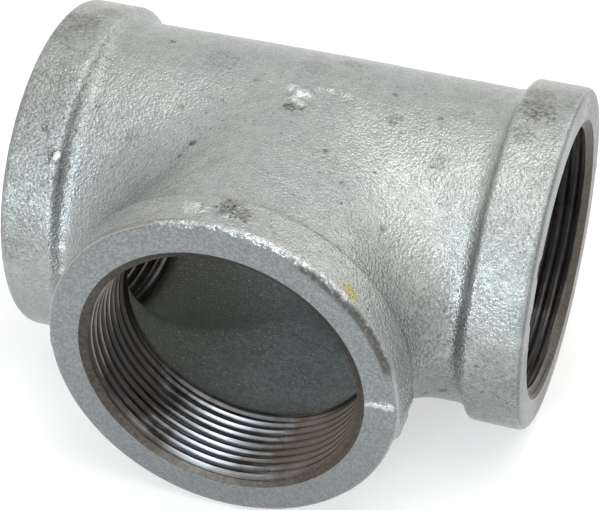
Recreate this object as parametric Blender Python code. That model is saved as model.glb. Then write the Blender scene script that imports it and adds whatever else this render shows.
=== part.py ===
"""Galvanised malleable iron tee for 2 inch pipe, with three taper-threaded ports.

The run lies along X, the branch points towards -Y, and the tee lies on its three bands on Z = 0.
The whole fitting is a single casting. It is modelled by region: the cast shell, the reinforcing
band round each port, and the threaded lining of each port.
"""

import math

import bmesh
import bpy
from mathutils import Vector

# Driving dimensions, in metres.
CENTRE_TO_END = 0.05715  # from the crossing of the two axes to each port face
BAND_RADIUS = 0.0373
BARREL_RADIUS = 0.0343
CROTCH_FILLET = 0.0060  # between the run's barrel and the branch's
CORE_RADIUS = 0.0302  # the cast waterway behind the threads

RUN_BAND_WIDTH = 0.0120  # from the face to the back edge of the crest
BRANCH_BAND_WIDTH = 0.0104
BAND_CORNER = 0.0015  # rounding between a port's face and its band
BAND_BACK_CORNER = 0.0008
BAND_SLOPE = 0.0009  # how far the back of a band leans away from its port

PIPE_THREADS_PER_INCH = 11.5
THREAD_PITCH = 0.0254 / PIPE_THREADS_PER_INCH
THREAD_PITCH_RADIUS = 0.02916  # at the port's face
THREAD_TAPER = 1 / 32  # on the radius: 1 in 16 on the diameter
THREAD_HEIGHT = 0.0016
THREAD_CREST = 0.12  # flat of the crest, as a share of the pitch
THREAD_ROOT = 0.04  # flat of the root, as a share of the pitch
THREAD_LENGTH = 0.0205
MOUTH_RADIUS = 0.0305
MOUTH_CHAMFER = 0.0012
LINING_RADIUS = 0.0312  # outside of the threaded region

GAP = 0.0003  # between neighbouring regions
SEGMENTS = 48
THREAD_SEGMENTS = 36
CORNER_STEPS = 4
FILLET_STEPS = 4
MERGE = 1e-7
SHARP_ANGLE = math.radians(35)

PORTS = {
    "run_left": (0, -math.pi / 2, 0),
    "run_right": (0, math.pi / 2, 0),
    "branch": (math.pi / 2, 0, 0),
}


def clear_scene():
    """Remove every object that the file opened with."""
    for thing in list(bpy.data.objects):
        bpy.data.objects.remove(thing)


def finish(name, colour, metallic, roughness):
    """A Principled material of one colour."""
    material = bpy.data.materials.new(name)
    material.use_nodes = True
    shader = material.node_tree.nodes["Principled BSDF"]
    shader.inputs["Base Color"].default_value = (*colour, 1)
    shader.inputs["Metallic"].default_value = metallic
    shader.inputs["Roughness"].default_value = roughness
    return material


def place(name, mesh, material, parent, turn=(0, 0, 0)):
    """Put a mesh in the scene, turned about the crossing of the axes."""
    if not mesh.materials:
        mesh.materials.append(material)
    thing = bpy.data.objects.new(name, mesh)
    thing.rotation_euler = turn
    thing.parent = parent
    bpy.context.collection.objects.link(thing)
    return thing


def closed_mesh(name, bm):
    """Sew a bmesh's loose faces into one closed skin that faces out, and shade it smooth."""
    bmesh.ops.remove_doubles(bm, verts=bm.verts, dist=MERGE)
    bmesh.ops.dissolve_degenerate(bm, edges=bm.edges, dist=MERGE)
    bmesh.ops.recalc_face_normals(bm, faces=bm.faces)
    mesh = bpy.data.meshes.new(name)
    bm.to_mesh(mesh)
    bm.free()
    mesh.shade_smooth()
    mesh.set_sharp_from_angle(angle=SHARP_ANGLE)
    return mesh


def add_strip(bm, first, second):
    """Fill the strip between two chains of points of the same length."""
    for a, b, c, d in zip(first, first[1:], second[1:], second):
        corners = []
        for point in (a, b, c, d):
            if all((point - other).length > MERGE for other in corners):
                corners.append(point)
        if len(corners) > 2:
            bm.faces.new([bm.verts.new(point) for point in corners])


def arc(centre, radius, start, end, steps):
    """Points of an arc in the outline plane, from one angle to another in degrees."""
    angles = [math.radians(start + (end - start) * i / steps) for i in range(steps + 1)]
    return [(centre[0] + radius * math.cos(a), centre[1] + radius * math.sin(a)) for a in angles]


def ring_angles(segments):
    """The angles of a full turn, with the last one back at the first."""
    return [2 * math.pi * i / segments for i in range(segments + 1)]


# The cast shell


def run_chain(angle, side):
    """From the outside of the run's barrel, round the port's end and back along the inside.

    The run's wall starts at the fillet where the branch leaves it, and at X = 0 on its back.
    """
    towards_branch = max(math.cos(angle), 0)
    counterbore = CENTRE_TO_END - THREAD_LENGTH - GAP
    lining = LINING_RADIUS + GAP
    stations = [
        ((BARREL_RADIUS + CROTCH_FILLET) * towards_branch, BARREL_RADIUS),
        (CENTRE_TO_END, BARREL_RADIUS),
        (CENTRE_TO_END, lining),
        (counterbore, lining),
        (counterbore, CORE_RADIUS),
        (CORE_RADIUS * towards_branch, CORE_RADIUS),
    ]
    return [
        Vector((side * along, -radius * math.cos(angle), radius * math.sin(angle)))
        for along, radius in stations
    ]


def branch_chain(angle, side):
    """The same for the branch: the run's chain, mirrored in the crotch's plane."""
    return [Vector((side * -p.y, side * -p.x, p.z)) for p in run_chain(angle, side)]


def crotch_chain(angle, side):
    """An arc of a ball that rolls in the corner between the two barrels."""
    reach = BARREL_RADIUS + CROTCH_FILLET
    flat, rise = math.cos(angle), math.sin(angle)
    centre = Vector((side * reach * flat, -reach * flat, reach * rise))
    to_run = Vector((0, flat, -rise))
    to_branch = Vector((-side * flat, 0, -rise))
    points = []
    for step in range(FILLET_STEPS + 1):
        share = step / FILLET_STEPS
        direction = to_run.lerp(to_branch, share)
        if 0 < step < FILLET_STEPS:
            direction = to_run.slerp(to_branch, share)
        points.append(centre + CROTCH_FILLET * direction)
    return points


def shell_mesh():
    """The hollow tee without its bands and threads."""
    bm = bmesh.new()
    angles = ring_angles(SEGMENTS)
    for angle, next_angle in zip(angles, angles[1:]):
        faces_branch = math.cos((angle + next_angle) / 2) > 0
        for side in (-1, 1):
            add_strip(bm, run_chain(angle, side), run_chain(next_angle, side))
            if faces_branch:
                add_strip(bm, branch_chain(angle, side), branch_chain(next_angle, side))
                add_strip(bm, crotch_chain(angle, side), crotch_chain(next_angle, side))
    return closed_mesh("shell", bm)


# The bands


def band_mesh(name, width):
    """A ring about Z whose flat face is at the port's end."""
    inside = BARREL_RADIUS + GAP
    back = CENTRE_TO_END - width
    front_centre = (BAND_RADIUS - BAND_CORNER, CENTRE_TO_END - BAND_CORNER)
    back_centre = (BAND_RADIUS - BAND_BACK_CORNER, back + BAND_BACK_CORNER)
    outline = [(inside, CENTRE_TO_END)]
    outline += arc(front_centre, BAND_CORNER, 90, 0, CORNER_STEPS)
    outline += arc(back_centre, BAND_BACK_CORNER, 0, -70, CORNER_STEPS - 1)
    outline += [(inside, back - BAND_SLOPE)]
    bm = bmesh.new()
    corners = [bm.verts.new((radius, 0, along)) for radius, along in outline]
    rim = [bm.edges.new(pair) for pair in zip(corners, corners[1:] + corners[:1])]
    bmesh.ops.spin(
        bm,
        geom=corners + rim,
        cent=(0, 0, 0),
        axis=(0, 0, 1),
        angle=2 * math.pi,
        steps=SEGMENTS,
        use_merge=True,
    )
    return closed_mesh(name, bm)


# The threads


def thread_radius(depth, share):
    """Radius of the thread at a depth from the face and a share of the pitch past a crest."""
    flank = (1 - THREAD_CREST - THREAD_ROOT) / 2
    from_crest = abs((share + 0.5) % 1 - 0.5) - THREAD_CREST / 2
    cut = min(max(from_crest / flank, 0), 1)
    crest = THREAD_PITCH_RADIUS - THREAD_HEIGHT / 2 - THREAD_TAPER * depth
    return crest + THREAD_HEIGHT * cut


def thread_chain(angle):
    """The lining's section at one angle: along the thread from inside to mouth, then back outside."""
    lowest = CENTRE_TO_END - THREAD_LENGTH
    highest = CENTRE_TO_END - MOUTH_CHAMFER
    half_crest, half_root = THREAD_CREST / 2, THREAD_ROOT / 2
    corners = (-half_crest, half_crest, 0.5 - half_root, 0.5 + half_root)
    turns = range(int(lowest / THREAD_PITCH) - 2, int(highest / THREAD_PITCH) + 2)
    section = []
    for turn in turns:
        for corner in corners:
            pitches = turn + corner + angle / (2 * math.pi)
            along = min(max(pitches * THREAD_PITCH, lowest), highest)
            share = along / THREAD_PITCH - angle / (2 * math.pi)
            section.append((thread_radius(CENTRE_TO_END - along, share), along))
    section.append((MOUTH_RADIUS, CENTRE_TO_END))
    section.append((LINING_RADIUS, CENTRE_TO_END))
    section.append((LINING_RADIUS, lowest))
    section.append(section[0])
    return [Vector((r * math.cos(angle), r * math.sin(angle), z)) for r, z in section]


def thread_mesh():
    """A right-hand internal taper thread about Z, with a chamfered mouth at the port's face."""
    bm = bmesh.new()
    angles = ring_angles(THREAD_SEGMENTS)
    for angle, next_angle in zip(angles, angles[1:]):
        add_strip(bm, thread_chain(angle), thread_chain(next_angle))
    return closed_mesh("thread", bm)


def build():
    """Build the tee, region by region."""
    clear_scene()
    zinc = finish("galvanised casting", (0.40, 0.42, 0.42), 0.7, 0.5)
    iron = finish("bare cut iron", (0.16, 0.14, 0.12), 0.8, 0.4)

    crossing = bpy.data.objects.new("axes_crossing", None)
    crossing.location = (0, (CENTRE_TO_END - BAND_RADIUS) / 2, BAND_RADIUS)
    bpy.context.collection.objects.link(crossing)

    place("tee_body", shell_mesh(), zinc, crossing)
    run_band = band_mesh("run_band", RUN_BAND_WIDTH)
    place("run_band_left", run_band, zinc, crossing, PORTS["run_left"])
    place("run_band_right", run_band, zinc, crossing, PORTS["run_right"])
    place("branch_band", band_mesh("branch_band", BRANCH_BAND_WIDTH), zinc, crossing, PORTS["branch"])
    thread = thread_mesh()
    for port, turn in PORTS.items():
        place(f"{port}_thread", thread, iron, crossing, turn)


build()
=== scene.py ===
"""Looks of a galvanised malleable iron pipe tee.

The tee is one sand casting, dipped in zinc, with a bare cut taper thread in each of its three ports.
The casting's skin is shaped by a distance function, roughened like moulding sand, and finished in
zinc; the threads are wound by Geometry Nodes.
"""

import logging
import math
from collections.abc import Callable, Sequence
from dataclasses import dataclass
from enum import Enum
from typing import Any, ClassVar

import bmesh
import bpy
import numpy as np
from mathutils import Matrix, Vector


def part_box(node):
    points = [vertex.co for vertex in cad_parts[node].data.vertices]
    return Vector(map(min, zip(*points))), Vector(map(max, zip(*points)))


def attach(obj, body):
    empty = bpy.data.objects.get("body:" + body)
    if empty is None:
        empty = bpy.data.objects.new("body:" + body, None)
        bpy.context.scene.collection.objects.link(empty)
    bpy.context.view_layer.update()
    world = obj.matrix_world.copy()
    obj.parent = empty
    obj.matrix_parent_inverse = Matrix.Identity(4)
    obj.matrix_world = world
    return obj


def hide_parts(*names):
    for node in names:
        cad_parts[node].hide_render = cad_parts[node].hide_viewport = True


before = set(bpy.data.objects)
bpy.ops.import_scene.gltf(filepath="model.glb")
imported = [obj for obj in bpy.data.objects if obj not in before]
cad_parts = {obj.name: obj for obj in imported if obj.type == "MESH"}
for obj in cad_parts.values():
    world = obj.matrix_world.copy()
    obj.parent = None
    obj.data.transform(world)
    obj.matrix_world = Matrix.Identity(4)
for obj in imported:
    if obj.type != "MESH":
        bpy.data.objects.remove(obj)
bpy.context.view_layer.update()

MM = 0.001
BODY = "root"
UP = Vector((0, 0, 1))
MICRON = 1e-6
SEW = 1e-7  # metres: points of the casting that are closer than this are one
TINY = 1e-12  # stands in for zero where something is divided by it

log = logging.getLogger("pipe_tee")

Distance = Callable[[np.ndarray], np.ndarray]
Socket = bpy.types.NodeSocket
Colour = tuple[float, float, float]


class Port(Enum):
    """The three ports, by the direction each looks in and the direction its angles start from."""

    RUN_LEFT = ((-1, 0, 0), (0, -1, 0))
    RUN_RIGHT = ((1, 0, 0), (0, -1, 0))
    BRANCH = ((0, -1, 0), (1, 0, 0))

    @property
    def outward(self) -> Vector:
        """The direction out of the port."""
        return Vector(self.value[0])

    @property
    def side(self) -> Vector:
        """The direction of angle zero; a quarter turn on from it is up."""
        return Vector(self.value[1])


@dataclass(frozen=True)
class TeeSizes:
    """The tee's driving sizes, in metres, read from the frame."""

    crossing: Vector
    centre_to_end: float
    band_radius: float
    barrel_radius: float
    run_band_width: float
    branch_band_width: float
    lining_radius: float
    thread_length: float

    @classmethod
    def from_frame(cls) -> "TeeSizes":
        """Read the sizes off the CAD nodes.

        Returns:
            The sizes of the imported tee.
        """
        body_low, body_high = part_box("tee_body")
        band_low, band_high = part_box("run_band_right")
        branch_low, branch_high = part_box("branch_band")
        thread_low, thread_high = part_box("run_right_thread")
        return cls(
            crossing=Vector((0, (band_low.y + band_high.y) / 2, (band_low.z + band_high.z) / 2)),
            centre_to_end=body_high.x,
            band_radius=(band_high.z - band_low.z) / 2,
            barrel_radius=(body_high.z - body_low.z) / 2,
            run_band_width=band_high.x - band_low.x,
            branch_band_width=branch_high.y - branch_low.y,
            lining_radius=(thread_high.z - thread_low.z) / 2,
            thread_length=thread_high.x - thread_low.x,
        )

    def place(self, port: Port, angle: float, depth: float, radius: float) -> Vector:
        """Find a point in a leg's own terms.

        Args:
            port: The leg's port.
            angle: Degrees round the leg, counted up from the port's side direction.
            depth: Distance in from the port's face.
            radius: Distance from the leg's axis.

        Returns:
            The point in the row frame.
        """
        turn = math.radians(angle)
        across = port.side * math.cos(turn) + UP * math.sin(turn)
        return self.crossing + port.outward * (self.centre_to_end - depth) + across * radius


# The casting's shape


@dataclass(frozen=True)
class CastShape:
    """The casting's skin as a signed distance, in metres, positive outside the metal."""

    sizes: TeeSizes
    crotch_blend: float = 17.0 * MM
    shallow_blend: float = 0.75  # below 1, the fillet widens where the barrels meet at a shallow angle
    foot_blend: float = 2.7 * MM
    front_corner: float = 1.5 * MM
    back_corner: float = 0.9 * MM
    band_slope: float = 0.9 * MM
    belly: float = 0.4 * MM  # how much the barrels swell at the crossing
    core_radius: float = 30.2 * MM
    core_blend: float = 4.0 * MM

    @staticmethod
    def blend(first: np.ndarray, second: np.ndarray, reach: np.ndarray | float) -> np.ndarray:
        """Join two distances with a fillet.

        Args:
            first: Distance to one shape.
            second: Distance to the other.
            reach: How far the fillet reaches, in metres.

        Returns:
            Distance to both shapes together.
        """
        reach = np.maximum(reach, MICRON)
        overlap = np.maximum(reach - np.abs(first - second), 0) / reach
        return np.minimum(first, second) - overlap**2 * reach / 4

    @staticmethod
    def collar(along: np.ndarray, radius: np.ndarray, start: float, end: float, top: float,
               corners: tuple[float, float]) -> np.ndarray:
        """Distance to a rounded disc on a leg's axis.

        Args:
            along: Distance along the leg.
            radius: Distance from its axis.
            start: Where the disc starts.
            end: Where it ends.
            top: The disc's radius.
            corners: The rounding at its start and at its end.

        Returns:
            The signed distance.
        """
        middle = (start + end) / 2
        corner = np.where(along > middle, corners[1], corners[0])
        over_end = np.abs(along - middle) - (end - start) / 2 + corner
        over_top = radius - top + corner
        outside = np.hypot(np.maximum(over_end, 0), np.maximum(over_top, 0))
        return np.minimum(np.maximum(over_end, over_top), 0) + outside - corner

    def leg(self, along: np.ndarray, radius: np.ndarray, band: float, swell: np.ndarray) -> np.ndarray:
        """Distance to one leg: a barrel with a band at its end.

        Args:
            along: Distance along the leg from the crossing.
            radius: Distance from its axis.
            band: The band's width at its foot.
            swell: How much the barrel swells over its nominal radius.

        Returns:
            The signed distance.
        """
        end, top = self.sizes.centre_to_end, self.sizes.band_radius
        corners = (self.back_corner, self.front_corner)
        lean = self.band_slope * np.clip((top - radius) / (top - self.sizes.barrel_radius), -1, 1.5)
        crest = self.collar(along + lean, radius, end - band + self.band_slope, 2 * end, top, corners)
        barrel = radius - self.sizes.barrel_radius - swell
        whole = self.collar(along, radius, -2 * end, end, top, corners)
        return np.maximum(self.blend(barrel, crest, self.foot_blend), whole)

    def outer(self, points: np.ndarray) -> np.ndarray:
        """Distance to the outside of the casting.

        Args:
            points: Points in the row frame, one a row.

        Returns:
            One signed distance a point.
        """
        x, y, z = (points - np.array(self.sizes.crossing)).T
        from_run, from_branch = np.hypot(y, z), np.hypot(x, z)
        swell = self.belly * np.clip(1 - (x / self.sizes.centre_to_end) ** 2 * 1.5, 0, 1)
        run = self.leg(np.abs(x), from_run, self.sizes.run_band_width, swell)
        branch = self.leg(-y, from_branch, self.sizes.branch_band_width, swell)
        branch = np.maximum(branch, y)
        share = self.corner_share(z, from_run, from_branch) ** self.shallow_blend
        return self.blend(run, branch, self.crotch_blend * share)

    def waterway(self, points: np.ndarray) -> np.ndarray:
        """Distance to the cast waterway, positive outside the hollow.

        Args:
            points: Points in the row frame, one a row.

        Returns:
            One signed distance a point.
        """
        x, y, z = (points - np.array(self.sizes.crossing)).T
        from_run, from_branch = np.hypot(y, z), np.hypot(x, z)
        branch = np.maximum(from_branch - self.core_radius, y)
        reach = self.core_blend * self.corner_share(z, from_run, from_branch)
        return self.blend(from_run - self.core_radius, branch, reach)

    @staticmethod
    def corner_share(height: np.ndarray, from_run: np.ndarray, from_branch: np.ndarray) -> np.ndarray:
        """How sharply the two barrels meet: 1 at a right angle, 0 where they touch flat.

        Args:
            height: Height over the plane of both axes.
            from_run: Distance from the run's axis.
            from_branch: Distance from the branch's axis.

        Returns:
            One share a point.
        """
        product = np.maximum(from_run * from_branch, TINY)
        return np.clip(1 - height**2 / product, 0, 1)

    @staticmethod
    def normals(distance: Distance, points: np.ndarray) -> np.ndarray:
        """The direction in which a distance grows.

        Args:
            distance: The distance function.
            points: Points in the row frame, one a row.

        Returns:
            One unit vector a point.
        """
        step = 0.02 * MM
        slopes = []
        for axis in np.eye(3):
            slopes.append(distance(points + axis * step) - distance(points - axis * step))
        slopes = np.stack(slopes, axis=1)
        return slopes / np.maximum(np.linalg.norm(slopes, axis=1, keepdims=True), TINY)

    def settle(self, distance: Distance, points: np.ndarray, rounds: int = 6) -> np.ndarray:
        """Move points onto the surface.

        Args:
            distance: The distance function.
            points: Points near the surface, one a row.
            rounds: How many steps to take.

        Returns:
            The moved points.
        """
        for _ in range(rounds):
            points = points - self.normals(distance, points) * distance(points)[:, None]
        return points


# Small relief that was cast or knocked into the skin


def bell(distance: np.ndarray, width: float) -> np.ndarray:
    """A smooth bump: 1 at no distance, and almost 0 from twice the width on."""
    return np.exp(-((distance / width) ** 2))


@dataclass(frozen=True)
class Lump:
    """A rounded ridge or pip that stands out of the skin, or a dent where its height is negative."""

    port: Port
    start: tuple[float, float, float]  # angle in degrees, depth and radius in millimetres
    end: tuple[float, float, float]
    radius: float  # millimetres
    height: float  # millimetres

    def rise(self, sizes: TeeSizes, points: np.ndarray) -> np.ndarray:
        """How far each point rises.

        Args:
            sizes: The tee's sizes.
            points: Points in the row frame, one a row.

        Returns:
            One height a point, in metres.
        """
        ends = []
        for angle, depth, radius in (self.start, self.end):
            ends.append(np.array(sizes.place(self.port, angle, depth * MM, radius * MM)))
        ridge = ends[1] - ends[0]
        length = max(float(ridge @ ridge), TINY)
        share = np.clip((points - ends[0]) @ ridge / length, 0, 1)
        gap = np.linalg.norm(points - ends[0] - share[:, None] * ridge, axis=1)
        return self.height * MM * bell(gap, self.radius * MM)


def ridges(port: Port, radius: float, *rows: tuple[float, ...]) -> list[Lump]:
    """Ridges, pips and dents that lie at one distance from a leg's axis.

    Args:
        port: The leg's port.
        radius: That distance, in millimetres.
        rows: For each, the angle and depth of its start and of its end, its own radius and its height.

    Returns:
        The lumps.
    """
    return [Lump(port, (*row[:2], radius), (*row[2:4], radius), *row[4:]) for row in rows]


CAST_RELIEF = (
    # a worn cast pad and three pips on top of the crossing
    *ridges(
        Port.RUN_RIGHT, 34.8,
        (84, 59.6, 82, 57.6, 0.8, 0.75),
        (80, 57.4, 81, 54.8, 0.8, 0.80),
        (77, 58.8, 75, 55.6, 0.8, 0.85),
        (84, 54.8, 86, 53.8, 0.7, 0.50),
        (86, 51.4, 86, 51.0, 0.6, 0.50),
        (86, 49.3, 86, 49.1, 0.6, 0.40),
        (85, 47.4, 85, 47.0, 0.6, 0.55),
    ),
    # a worn ring and a worn pad on top of the branch band
    *ridges(
        Port.BRANCH, 37.3,
        *((98 + 2.2 * math.cos(turn), 5.8 + 1.4 * math.sin(turn),
           98 + 2.2 * math.cos(turn + 1), 5.8 + 1.4 * math.sin(turn + 1), 0.5, 0.26) for turn in range(6)),
        (90, 4.6, 85, 4.4, 0.5, 0.36),
        (90, 7.8, 86, 7.6, 0.5, 0.34),
        (88, 5.0, 86, 7.4, 0.5, 0.32),
        (95, 3.4, 94, 3.0, 0.5, 0.25),
    ),
    # a knock on the left run band's back edge
    *ridges(Port.RUN_LEFT, 37.0, (40, 11.6, 38, 10.8, 0.7, 0.35), (44, 11.4, 42, 10.6, 0.9, -0.35)),
    # flash where the two halves of the mould met, on the branch's right, and a little on its left
    *ridges(
        Port.BRANCH, 37.2,
        (-6, 0.6, -6, 8.6, 1.8, 0.85),
        (-10, 0.4, -10, 6.6, 1.2, 0.95),
        (183, 1.5, 183, 9.0, 1.2, 0.25),
    ),
    Lump(Port.BRANCH, (2, 0.0, 31.5), (2, 0.0, 36.2), 0.6, 0.40),
    # chips in two mouths
    *ridges(Port.RUN_RIGHT, 30.4, (35, 0.0, 33, 0.0, 0.9, -0.45), (15, 0.0, 13, 0.0, 0.7, -0.40)),
    Lump(Port.BRANCH, (-129, 0.0, 30.4), (-129, 0.0, 30.9), 0.6, -0.35),
)


@dataclass(frozen=True)
class Relief:
    """Everything that stands out of the smooth casting shape, apart from the sand's own grain."""

    sizes: TeeSizes
    lumps: Sequence[Lump] = CAST_RELIEF
    parting_height: float = 0.10 * MM
    parting_width: float = 0.45 * MM
    parting_wave: float = 14 * MM  # how far apart the line's strong patches are
    parting_seed: int = 3
    burr_height: float = 0.42 * MM
    burr_width: float = 0.8 * MM
    burr_wave: float = 2.2 * MM
    burr_seed: int = 5
    burr_stretch: tuple[float, float] = (38, 118)  # degrees round the branch
    burr_fade: tuple[float, float] = (12, 25)  # degrees over which it starts and ends
    burr_inset: tuple[float, float] = (0.7 * MM, 0.5 * MM)  # in from the band's top and from the face

    @staticmethod
    def ripple(points: np.ndarray, wave: float, seed: int) -> np.ndarray:
        """A smooth irregular pattern.

        Args:
            points: Points, one a row.
            wave: The pattern's wavelength, in metres.
            seed: Which pattern.

        Returns:
            One value a point, between about -1 and 1.
        """
        rng = np.random.default_rng(seed)
        total = np.zeros(len(points))
        waves = 9
        for _ in range(waves):
            direction = rng.normal(size=3)
            direction *= 2 * math.pi / wave * rng.uniform(0.6, 1.5) / np.linalg.norm(direction)
            total += np.sin(points @ direction + rng.uniform(0, 2 * math.pi))
        return total / math.sqrt(waves) / 1.4

    def rise(self, points: np.ndarray) -> np.ndarray:
        """How far each point of the outer skin rises.

        Args:
            points: Points in the row frame, one a row.

        Returns:
            One height a point, in metres.
        """
        lumps = sum(lump.rise(self.sizes, points) for lump in self.lumps)
        return lumps + self.parting(points) + self.burr(points)

    def parting(self, points: np.ndarray) -> np.ndarray:
        """The line that the mould's joint leaves at half height, stronger in patches.

        Args:
            points: Points in the row frame, one a row.

        Returns:
            One height a point, in metres.
        """
        height = points[:, 2] - self.sizes.crossing.z
        patchy = np.clip(0.6 + 0.6 * self.ripple(points, self.parting_wave, self.parting_seed), 0, 1.3)
        return self.parting_height * patchy * bell(height, self.parting_width)

    def burr(self, points: np.ndarray) -> np.ndarray:
        """A rough burr on the upper right edge of the branch's face.

        Args:
            points: Points in the row frame, one a row.

        Returns:
            One height a point, in metres.
        """
        x, y, z = (points - np.array(self.sizes.crossing)).T
        angle = np.degrees(np.arctan2(z, x))
        under_top = np.hypot(x, z) - self.sizes.band_radius + self.burr_inset[0]
        behind_face = self.sizes.centre_to_end + y - self.burr_inset[1]
        starts = np.clip((angle - self.burr_stretch[0]) / self.burr_fade[0], 0, 1)
        ends = np.clip((self.burr_stretch[1] - angle) / self.burr_fade[1], 0, 1)
        rough = np.clip(0.55 + self.ripple(points, self.burr_wave, self.burr_seed), 0, 1.6)
        near = bell(np.hypot(under_top, behind_face), self.burr_width)
        return self.burr_height * starts * ends * rough * near


# Node trees


class Graph:
    """A node tree that is built one node at a time."""

    def __init__(self, tree: bpy.types.NodeTree) -> None:
        """Start on a tree.

        Args:
            tree: The tree that gets the nodes.
        """
        self.tree = tree

    def node(self, kind: str, inputs: dict[str | int, Any] | None = None, **settings: Any) -> bpy.types.Node:
        """Add a node.

        Args:
            kind: The node's type.
            inputs: A value or a link for each input, by name or by place.
            settings: The node's own settings.

        Returns:
            The node.
        """
        node = self.tree.nodes.new(kind)
        for name, value in settings.items():
            setattr(node, name, value)
        for key, value in (inputs or {}).items():
            if isinstance(key, int):
                socket = node.inputs[key]
            else:
                socket = next(s for s in node.inputs if s.name == key and s.enabled)
            if isinstance(value, Socket):
                self.tree.links.new(value, socket)
            else:
                socket.default_value = value
        return node

    def math(self, operation: str, *values: Any, clamp: bool = False) -> Socket:
        """Add a sum on numbers.

        Args:
            operation: The Math node's operation.
            values: Its numbers or links.
            clamp: Whether to keep the answer between 0 and 1.

        Returns:
            The answer's socket.
        """
        inputs = dict(enumerate(values))
        return self.node("ShaderNodeMath", inputs, operation=operation, use_clamp=clamp).outputs[0]

    def vector(self, operation: str, *values: Any) -> Socket:
        """Add a sum on vectors.

        Args:
            operation: The Vector Math node's operation.
            values: Its vectors or links.

        Returns:
            The answer's socket: a number for LENGTH, DISTANCE and DOT_PRODUCT.
        """
        node = self.node("ShaderNodeVectorMath", operation=operation)
        sockets = [s for s in node.inputs if s.enabled]
        for place, value in enumerate(values):
            if isinstance(value, Socket):
                self.tree.links.new(value, sockets[place])
            else:
                sockets[place].default_value = value
        return next(s for s in node.outputs if s.enabled)

    def product(self, *values: Any, clamp: bool = False) -> Socket:
        """Multiply numbers.

        Args:
            values: The numbers or links, at least two.
            clamp: Whether to keep the answer between 0 and 1.

        Returns:
            The answer's socket.
        """
        answer = values[0]
        for value in values[1:]:
            answer = self.math("MULTIPLY", answer, value)
        answer.node.use_clamp = clamp
        return answer

    def scaled(self, vector: Socket, factor: Any) -> Socket:
        """A vector times a number or a link."""
        return self.node("ShaderNodeVectorMath", {0: vector, "Scale": factor}, operation="SCALE").outputs[0]

    def split(self, vector: Socket) -> Sequence[Socket]:
        """A vector's three numbers."""
        return self.node("ShaderNodeSeparateXYZ", {0: vector}).outputs

    def attribute(self, name: str, kind: str) -> Socket:
        """A named attribute of the geometry."""
        return self.node("GeometryNodeInputNamedAttribute", {"Name": name}, data_type=kind).outputs[0]

    def joined(self, *numbers: Any) -> Socket:
        """A vector made of three numbers or links."""
        return self.node("ShaderNodeCombineXYZ", dict(enumerate(numbers))).outputs[0]

    def remap(self, value: Socket, low: float, high: float, to_low: float = 0.0,
              to_high: float = 1.0) -> Socket:
        """Turn a range into another, with smooth ends.

        Args:
            value: The number to turn.
            low: Where the range starts.
            high: Where it ends.
            to_low: What the start becomes.
            to_high: What the end becomes.

        Returns:
            The new number's socket.
        """
        inputs = {0: value, 1: low, 2: high, 3: to_low, 4: to_high}
        return self.node("ShaderNodeMapRange", inputs, interpolation_type="SMOOTHSTEP").outputs[0]

    def noise(self, vector: Socket, size: float, detail: float = 2.0, roughness: float = 0.5) -> Socket:
        """Noise whose blobs have a given size.

        Args:
            vector: Where to read it, in metres.
            size: The blobs' size, in metres.
            detail: How many finer layers it has.
            roughness: How strong those are.

        Returns:
            The noise's socket, about 0.5 on average.
        """
        inputs = {"Vector": vector, "Scale": 1 / size, "Detail": detail, "Roughness": roughness}
        return self.node("ShaderNodeTexNoise", inputs).outputs[0]

    def mix(self, share: Any, first: Any, second: Any) -> Socket:
        """Mix two colours.

        Args:
            share: How much of the second colour shows.
            first: A colour or its socket.
            second: A colour or its socket.

        Returns:
            The mixed colour's socket.
        """
        node = self.node("ShaderNodeMix", data_type="RGBA")
        sockets = [s for s in node.inputs if s.enabled]
        for socket, value in zip(sockets, (share, first, second)):
            if isinstance(value, Socket):
                self.tree.links.new(value, socket)
            else:
                socket.default_value = (*value, 1.0) if isinstance(value, tuple) else value
        return next(s for s in node.outputs if s.enabled)


# Finishes


class FinishGraph(Graph):
    """The nodes of one finish, round its Principled shader."""

    def __init__(self, name: str, metallic: float) -> None:
        """Start a material.

        Args:
            name: The material's name.
            metallic: How metallic it is.
        """
        self.material = bpy.data.materials.new(name)
        self.material.use_nodes = True
        super().__init__(self.material.node_tree)
        self.shader = self.tree.nodes["Principled BSDF"]
        self.shader.inputs["Metallic"].default_value = metallic
        self.place = self.node("ShaderNodeTexCoord").outputs["Object"]

    def dress(self, colour: Socket, roughness: Socket, height: Socket, depth: float,
              strength: float = 1.0) -> bpy.types.Material:
        """Connect the finish to its shader.

        Args:
            colour: The colour.
            roughness: The roughness.
            height: The relief that is too fine for the mesh.
            depth: That relief's depth, in metres.
            strength: How much of it shows.

        Returns:
            The material.
        """
        bump = self.node("ShaderNodeBump", {"Strength": strength, "Distance": depth, "Height": height})
        wanted = {"Base Color": colour, "Roughness": roughness, "Normal": bump.outputs[0]}
        for name, value in wanted.items():
            self.tree.links.new(value, self.shader.inputs[name])
        return self.material


@dataclass(frozen=True)
class Mark:
    """A stain, pit, paint dot, or patch of painted shade or highlight on the skin, in a leg's own terms."""

    port: Port
    angle: float  # degrees
    depth: float  # millimetres in from the face
    radius: float  # millimetres from the leg's axis
    size: float  # millimetres
    strength: float


def marks(port: Port, *rows: tuple[float, ...]) -> list[Mark]:
    """Marks on one leg.

    Args:
        port: The leg's port.
        rows: Each mark's angle, depth, radius, size and strength.

    Returns:
        The marks.
    """
    return [Mark(port, *row) for row in rows]


# Real handling marks, and broad soft marks that are painted shade: these darken the low front of the right
# barrel and band and dim the highlights on the left band and barrel
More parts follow.
